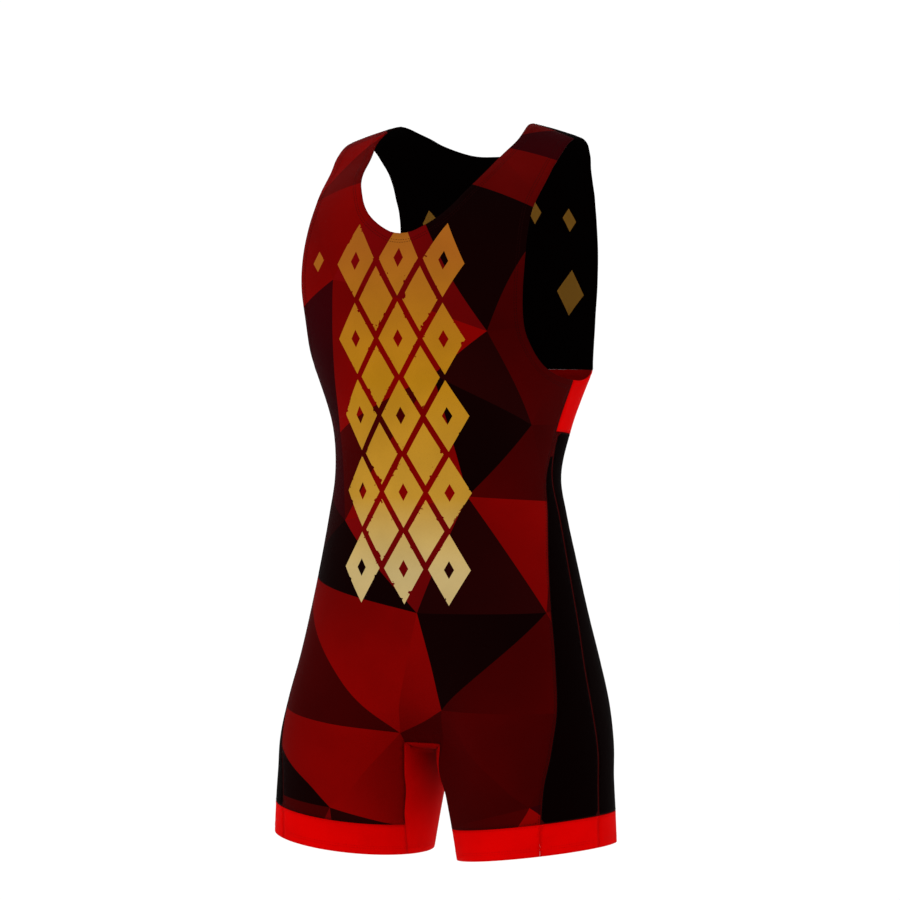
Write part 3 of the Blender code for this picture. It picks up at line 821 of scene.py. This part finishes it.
backBand = {
    "foot": ((-16, 489), (-12, 488.7), (0, 488), (15, 486.5), (40, 484.5), (90, 484), (180, 484)),
    "underarm": ((-19, 546), (0, 545), (22, 549), (42, 557)),
    "top": 557.0,
    "tipGap": 4.0,  # from the wedge's tip to the lower back's edge
}
sideWedge = {
    "seam": ((-19, 0), (-16, 45), (-11, 120), (-9, 190), (-4, 260), (-3, 340), (-1, 400),
             (-2, 425), (-5, 445), (-9, 468), (-12, 488)),
    "tip": 488.0,
}
upperBack = {
    "neck": ((154, 920), (157, 912), (165, 899), (175, 885), (185, 871), (194.5, 854),
             (204, 841.5), (213.5, 832.5), (226, 825), (239, 821), (250, 820)),
    "armhole": ((42, 557), (57, 565), (68, 575), (81, 590), (92, 605), (102, 621), (115, 648),
                (123, 674), (127, 715), (126, 744), (123, 770), (120, 790), (119, 812), (118, 834),
                (117, 850), (115, 870), (110, 890), (103, 907), (97, 920), (99, 932)),
}

footEnd = backBand["foot"][0][1]
sideSeam = [*upSeam(frontPanel["seam"], bandTop, footEnd, -halfGap),
            *upSeam(frontPanel["seam"], footEnd, backBand["underarm"][0][1], -halfGap)]
shoulder = smoothLine((frontPanel["armhole"][-1], frontPanel["neck"][0]), -halfGap)
outline, kinds = wideOutline(
    "front",
    ("sewn", across(crotch, -float(rowLength("front", crotch)), legSeam("front", crotch))),
    ("sewn", gussetSide("front", bandTop, crotch)[::-1]),
    ("sewn", across(bandTop + halfGap, legSeam("front", bandTop), sideSeam[0][0])),
    ("sewn", sideSeam),
    ("free", smoothLine(frontPanel["armhole"])[1:-1]),
    ("sewn", shoulder),
    ("free", smoothLine(frontPanel["neck"])[1:]))
makePanel("front_panel", outline, kinds, placeWide("front"), False, printedKnit,
          "printed_dark_red_knit", "front",
          *printTints("ground", frontFacets, frontGold, True))

# Upper back
shoulder = smoothLine((upperBack["neck"][0], upperBack["armhole"][-1]), -halfGap)
foot = across(backBand["top"] + halfGap, upperBack["armhole"][0][0],
              float(rowLength("back", backBand["top"])))
outline, kinds = wideOutline(
    "back",
    ("sewn", foot[::-1]),
    ("free", smoothLine(upperBack["armhole"])[1:-1]),
    ("sewn", shoulder[::-1]),
    ("free", smoothLine(upperBack["neck"])[1:]))
makePanel("upper_back_panel", outline, kinds, placeWide("back"), True, printedBlackKnit,
          "black_knit", "upperBack",
          *printTints("jet", [], backGold, False))

# Back band
foot = smoothLine(backBand["foot"], halfGap)
top = across(backBand["top"] - halfGap, upperBack["armhole"][0][0],
             float(rowLength("back", backBand["top"])))
footMiddle = backBand["foot"][-1][1]
outline, kinds = wideOutline(
    "back",
    ("sewn", [(float(rowLength("back", footMiddle)), footMiddle + halfGap), *foot[::-1]]),
    ("sewn", upSeam(frontPanel["seam"], footEnd, backBand["underarm"][0][1], halfGap)),
    ("free", smoothLine(backBand["underarm"])[1:-1]),
    ("sewn", top))
makePanel("back_band", outline, kinds, placeWide("back"), True, redKnit, "bright_red_knit", "red")

# Lower back
seam = upSeam(sideWedge["seam"], bandTop, sideWedge["tip"], halfGap)
clearOf = seam[-1][0] + backBand["tipGap"]
foot = [point for point in smoothLine(backBand["foot"], -halfGap) if point[0] > clearOf]
outline, kinds = wideOutline(
    "back",
    ("sewn", across(crotch, legSeam("back", crotch), float(rowLength("back", crotch)))[::-1]),
    ("sewn", gussetSide("back", bandTop, crotch)[::-1]),
    ("sewn", across(bandTop + halfGap, seam[0][0], legSeam("back", bandTop))[::-1]),
    ("sewn", seam),
    ("sewn", [*foot, (float(rowLength("back", footMiddle)), footMiddle - halfGap)]))
makePanel("lower_back_panel", outline, kinds, placeWide("back"), True, blackKnit,
          "black_knit", "lowerBack")

# Side wedges and leg bands, each cut once for the left and turned over for the right
bands = {
    "front": lambda low, high: (gussetSide("front", low, high),
                                upSeam(frontPanel["seam"], low, high, -halfGap)),
    "side": lambda low, high: (upSeam(frontPanel["seam"], low, high, halfGap),
                               upSeam(sideWedge["seam"], low, high, -halfGap)),
    "back": lambda low, high: (upSeam(sideWedge["seam"], low, high, halfGap),
                               gussetSide("back", low, high)),
}


def strip(edges, low, high, footKind):
    left, right = edges(low, high)
    return stripOutline((footKind, across(low, left[0][0], right[0][0])), ("sewn", right),
                        ("sewn", across(high, left[-1][0], right[-1][0])[::-1]), ("sewn", left[::-1]))


for sign, side in ((1, "left"), (-1, "right")):
    outline, kinds = strip(bands["side"], bandTop + halfGap, sideWedge["tip"] - halfGap, "sewn")
    makePanel("side_wedge_" + side, outline, kinds, placeSide(sign), sign < 0, blackKnit,
              "black_knit", "sides")
    for place, edges in bands.items():
        outline, kinds = strip(edges, 0.0, bandTop - halfGap, "free")
        makePanel(f"leg_band_{place}_{side}", outline, kinds, placeSide(sign), sign < 0, redKnit,
                  "bright_red_knit", "red")

# Inner leg gusset: one saddle from hem to hem
gusset = {
    "dip": 9.0,  # its middle hangs this far below its front edge
    "rise": 14.0,  # the arch between the legs springs this far below the crotch
    "bend": 0.33,
    "archRows": 12,
    "depths": 20,
    "squareness": 6,  # of the middle's sag from front to back
}


def gussetPoint(arch, level, depth):  # arch 0 in the middle, 1 on the leg; depth -1 front, 1 back
    face = "front" if depth < 0 else "back"
    d = abs(depth)
    spring = legTop - gusset["rise"] * (1 - d * d)
    station = round(spring * level / crotch, 4)
    points = halfRow(station, face)[1]
    lobe = formAt("lobe", station)
    seam = points[-1][:2]
    inner = np.array([2 * lobe - formAt("halfWidth", station), 0.0])
    leave = unit(seam - points[-2][:2])
    handle = gusset["bend"] * abs(seam[1])
    bends = (seam, seam + leave * handle, inner + (0, math.copysign(handle, seam[1])), inner)
    t = 1 - d
    shares = ((1 - t) ** 3, 3 * t * (1 - t) ** 2, 3 * t * t * (1 - t), t ** 3)
    x, y = sum(bend * share for bend, share in zip(bends, shares))
    z = formAt("height", station) + legTilt(station) * (x - lobe)
    middleY = formAt("middle" + face.capitalize(), crotch) * d
    middleZ = formAt("height", crotch) - gusset["dip"] * math.sqrt(max(0.0, 1 - d ** gusset["squareness"]))
    swing = arch * math.pi / 2
    wave = math.pi / formAt("lobe", crotch)
    bow = (1 - math.cos(wave * x * math.sin(swing))) / (1 - math.cos(wave * x))
    return np.array([x * math.sin(swing), middleY + (y - middleY) * bow,
                     z + (middleZ - z) * math.cos(swing)])


levels = stops(0.0, bandTop) + stops(bandTop, crotch)[1:]
halfRows = [(1.0, float(level)) for level in levels]
halfRows += [(float(arch), crotch) for arch in np.linspace(1.0, 0.0, gusset["archRows"])[1:]]
half = np.sin(np.linspace(0.0, math.pi / 2, gusset["depths"]))  # closer rows towards the seams
depths = np.concatenate([-half[::-1], half[1:]]).tolist()
left = np.array([[gussetPoint(*row, depth) for depth in depths] for row in halfRows])
left[[i for i, row in enumerate(halfRows) if row[0] < 1]] -= (0, 0, cloth["seamGap"])
grid = np.concatenate([left, left[:-1][::-1] * (-1, 1, 1)])
slopes = unit(np.cross(np.gradient(grid, axis=0), np.gradient(grid, axis=1)))  # away from the legs
acrossSteps = np.linalg.norm(np.diff(grid, axis=1), axis=2)
alongSteps = np.linalg.norm(np.diff(grid[:, len(half) - 1], axis=0), axis=1)
fromFront = np.concatenate([np.zeros((len(grid), 1)), np.cumsum(acrossSteps, axis=1)], axis=1)
middleAt = fromFront[:, len(half) - 1:len(half)]
fromHem = travelled(alongSteps)
rowCount, columnCount = grid.shape[:2]
flat = np.stack([fromFront - middleAt, np.repeat(fromHem[:, None], columnCount, axis=1)], axis=2)
quads = [(k, k + 1, k + columnCount + 1, k + columnCount)
         for i in range(rowCount - 1) for k in range(i * columnCount, (i + 1) * columnCount - 1)]
faces = np.array([face for a, b, c, d in quads for face in ((a, b, c), (a, c, d))])
seamGap = np.minimum(fromFront, fromFront[:, -1:] - fromFront).ravel()
hemGap = np.minimum(flat[:, :, 1], fromHem[-1] - flat[:, :, 1]).ravel()
skin, skinNormals, flat = grid.reshape(-1, 3), slopes.reshape(-1, 3), flat.reshape(-1, 2)


def placeGusset(where):
    # points between those of the grid are read from their nearest neighbour and its slope
    found, normals = np.zeros((len(where), 3)), np.zeros((len(where), 3))
    for k, point in enumerate(where):
        near = int(np.argmin(((flat - point) ** 2).sum(axis=1)))
        found[k], normals[k] = skin[near], skinNormals[near]
        offset = point - flat[near]
        if np.abs(offset).max() > 1e-6:
            row, column = divmod(near, columnCount)
            acrossWay = grid[row, min(column + 1, columnCount - 1)] - grid[row, max(column - 1, 0)]
            alongWay = grid[min(row + 1, rowCount - 1), column] - grid[max(row - 1, 0), column]
            found[k] += unit(acrossWay) * offset[0] + unit(alongWay) * offset[1]
    return found, normals


piece = clothShell("InnerLegGussetCloth", flat, faces, placeGusset,
                   lambda where: np.minimum([seamGap, hemGap], cloth["feltTo"]), True, gussetKnit)
rise = hemGap * mm
edgeRise = rise[np.unique(openEdges(faces))]
piece.data.attributes.new("fromHem", "FLOAT", "POINT").data.foreach_set(
    "value", np.concatenate([rise, rise, edgeRise]))
handOver(piece, "inner_leg_gusset")

clear = np.minimum(fromHem, fromHem[-1] - fromHem) > stitching["endGap"]
raisedGrid = grid + slopes * stitching["lift"]
for column in (0, -1):  # beside the gusset's seams
    inward = unit(grid[clear, 1 if column == 0 else -2] - grid[clear, column])
    stitchRuns["red"].append(placed(raisedGrid[clear, column] + inward * stitching["beside"]))
for inset in stitching["turnedIn"]:  # and along its turned hems
    for level in (inset, fromHem[-1] - inset):
        k = int(np.searchsorted(fromHem, level))
        share = (level - fromHem[k - 1]) / (fromHem[k] - fromHem[k - 1])
        line = raisedGrid[k - 1] * (1 - share) + raisedGrid[k] * share
        stitchRuns["red"].append(placed(line[2:-2]))


def threadTree(material):
    sizes = [(label, "Float", stitching[label.lower()]) for label in ("Spacing", "Length", "Thread")]
    tree, given, result = effectGroup("threadStitches", [("Lines", "Geometry", None), *sizes],
                                      [("Stitches", "Geometry")], "GeometryNodeTree")
    line = addNode(tree, "GeometryNodeMeshToCurve", {0: given["Lines"]})
    points = addNode(tree, "GeometryNodeCurveToPoints", {"Curve": line.outputs[0],
                                                         "Length": given["Spacing"]}, mode="LENGTH")
    ball = addNode(tree, "GeometryNodeMeshUVSphere", {"Segments": 6, "Rings": 4, "Radius": 0.5})
    thread = given["Thread"]
    size = addNode(tree, "ShaderNodeCombineXYZ", {0: thread, 1: thread, 2: given["Length"]})
    laid = addNode(tree, "GeometryNodeInstanceOnPoints", {
        "Points": points.outputs["Points"], "Instance": ball.outputs["Mesh"],
        "Rotation": points.outputs["Rotation"], "Scale": size.outputs[0]})
    real = addNode(tree, "GeometryNodeRealizeInstances", {0: laid.outputs[0]})
    finish = addNode(tree, "GeometryNodeSetMaterial", {"Geometry": real.outputs[0], "Material": material})
    tree.links.new(finish.outputs[0], result[0])
    return tree


def threadFinish(name, colour):
    material, tree, shader = plainFinish(name, 0.6, 0.03)
    twist = noise(tree, addNode(tree, "ShaderNodeTexCoord").outputs["Object"], 900.0)
    depth = mapped(tree, twist, 0.3, 0.7, 0.7, 1.3)
    tree.links.new(toned(tree, linear(*colour), depth), shader["Base Color"])
    return material


for group, runs in stitchRuns.items():
    vertices, edges = [], []
    for run in runs:
        edges += [(len(vertices) + k, len(vertices) + k + 1) for k in range(len(run) - 1)]
        vertices += [tuple(point) for point in run]
    name = group[0].upper() + group[1:] + "Stitches"
    guide = bpy.data.meshes.new(name + "Guide")
    guide.from_pydata(vertices, edges, [])
    piece = shown(name, guide)
    colour, slot = stitching["groups"][group]
    modifier = piece.modifiers.new("stitches", "NODES")
    modifier.node_group = threadTree(threadFinish(group + "Thread", colour))
    bpy.context.view_layer.update()
    sewn = bpy.data.meshes.new_from_object(piece.evaluated_get(bpy.context.evaluated_depsgraph_get()))
    piece.modifiers.clear()
    piece.data = sewn
    sewn.shade_smooth()
    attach(piece, "root")
    print(name, "made,", len(sewn.polygons), "faces")

# Studio: an even white room, one soft light from the front, and a pale floor below the frame
studio = {"room": 1.04, "key": 8.0, "keyPlace": (-1.6, -3.4, 1.6), "keySize": 2.6,
          "floorLevel": -1.13, "floorSize": 40.0, "floorTone": 0.99}
world = bpy.data.worlds.new("whiteRoom")
world.use_nodes = True
air = world.node_tree.nodes["Background"].inputs
air["Color"].default_value = (1.0, 1.0, 1.0, 1.0)
air["Strength"].default_value = studio["room"]
scene.world = world
key = shown("softKey", bpy.data.lights.new("softKey", "AREA"))
key.data.energy = studio["key"]
key.data.size = studio["keySize"]
key.location = studio["keyPlace"]
key.rotation_euler = (Vector(viewpoint["target"]) - key.location).to_track_quat("-Z", "Y").to_euler()
half = studio["floorSize"] / 2
floorMesh = bpy.data.meshes.new("paleFloor")
floorMesh.from_pydata([(x, y, studio["floorLevel"]) for x, y in
                       ((-half, -half), (half, -half), (half, half), (-half, half))], [], [(0, 1, 2, 3)])
floorFinish, _, floorShader = plainFinish("paleFloor", 1.0, 0.0)
floorShader["Base Color"].default_value = (*[studio["floorTone"]] * 3, 1.0)
floorMesh.materials.append(floorFinish)
paleFloor = shown("paleFloor", floorMesh)
scene.view_settings.view_transform = "Standard"
scene.view_settings.look = "None"
print("studio set")
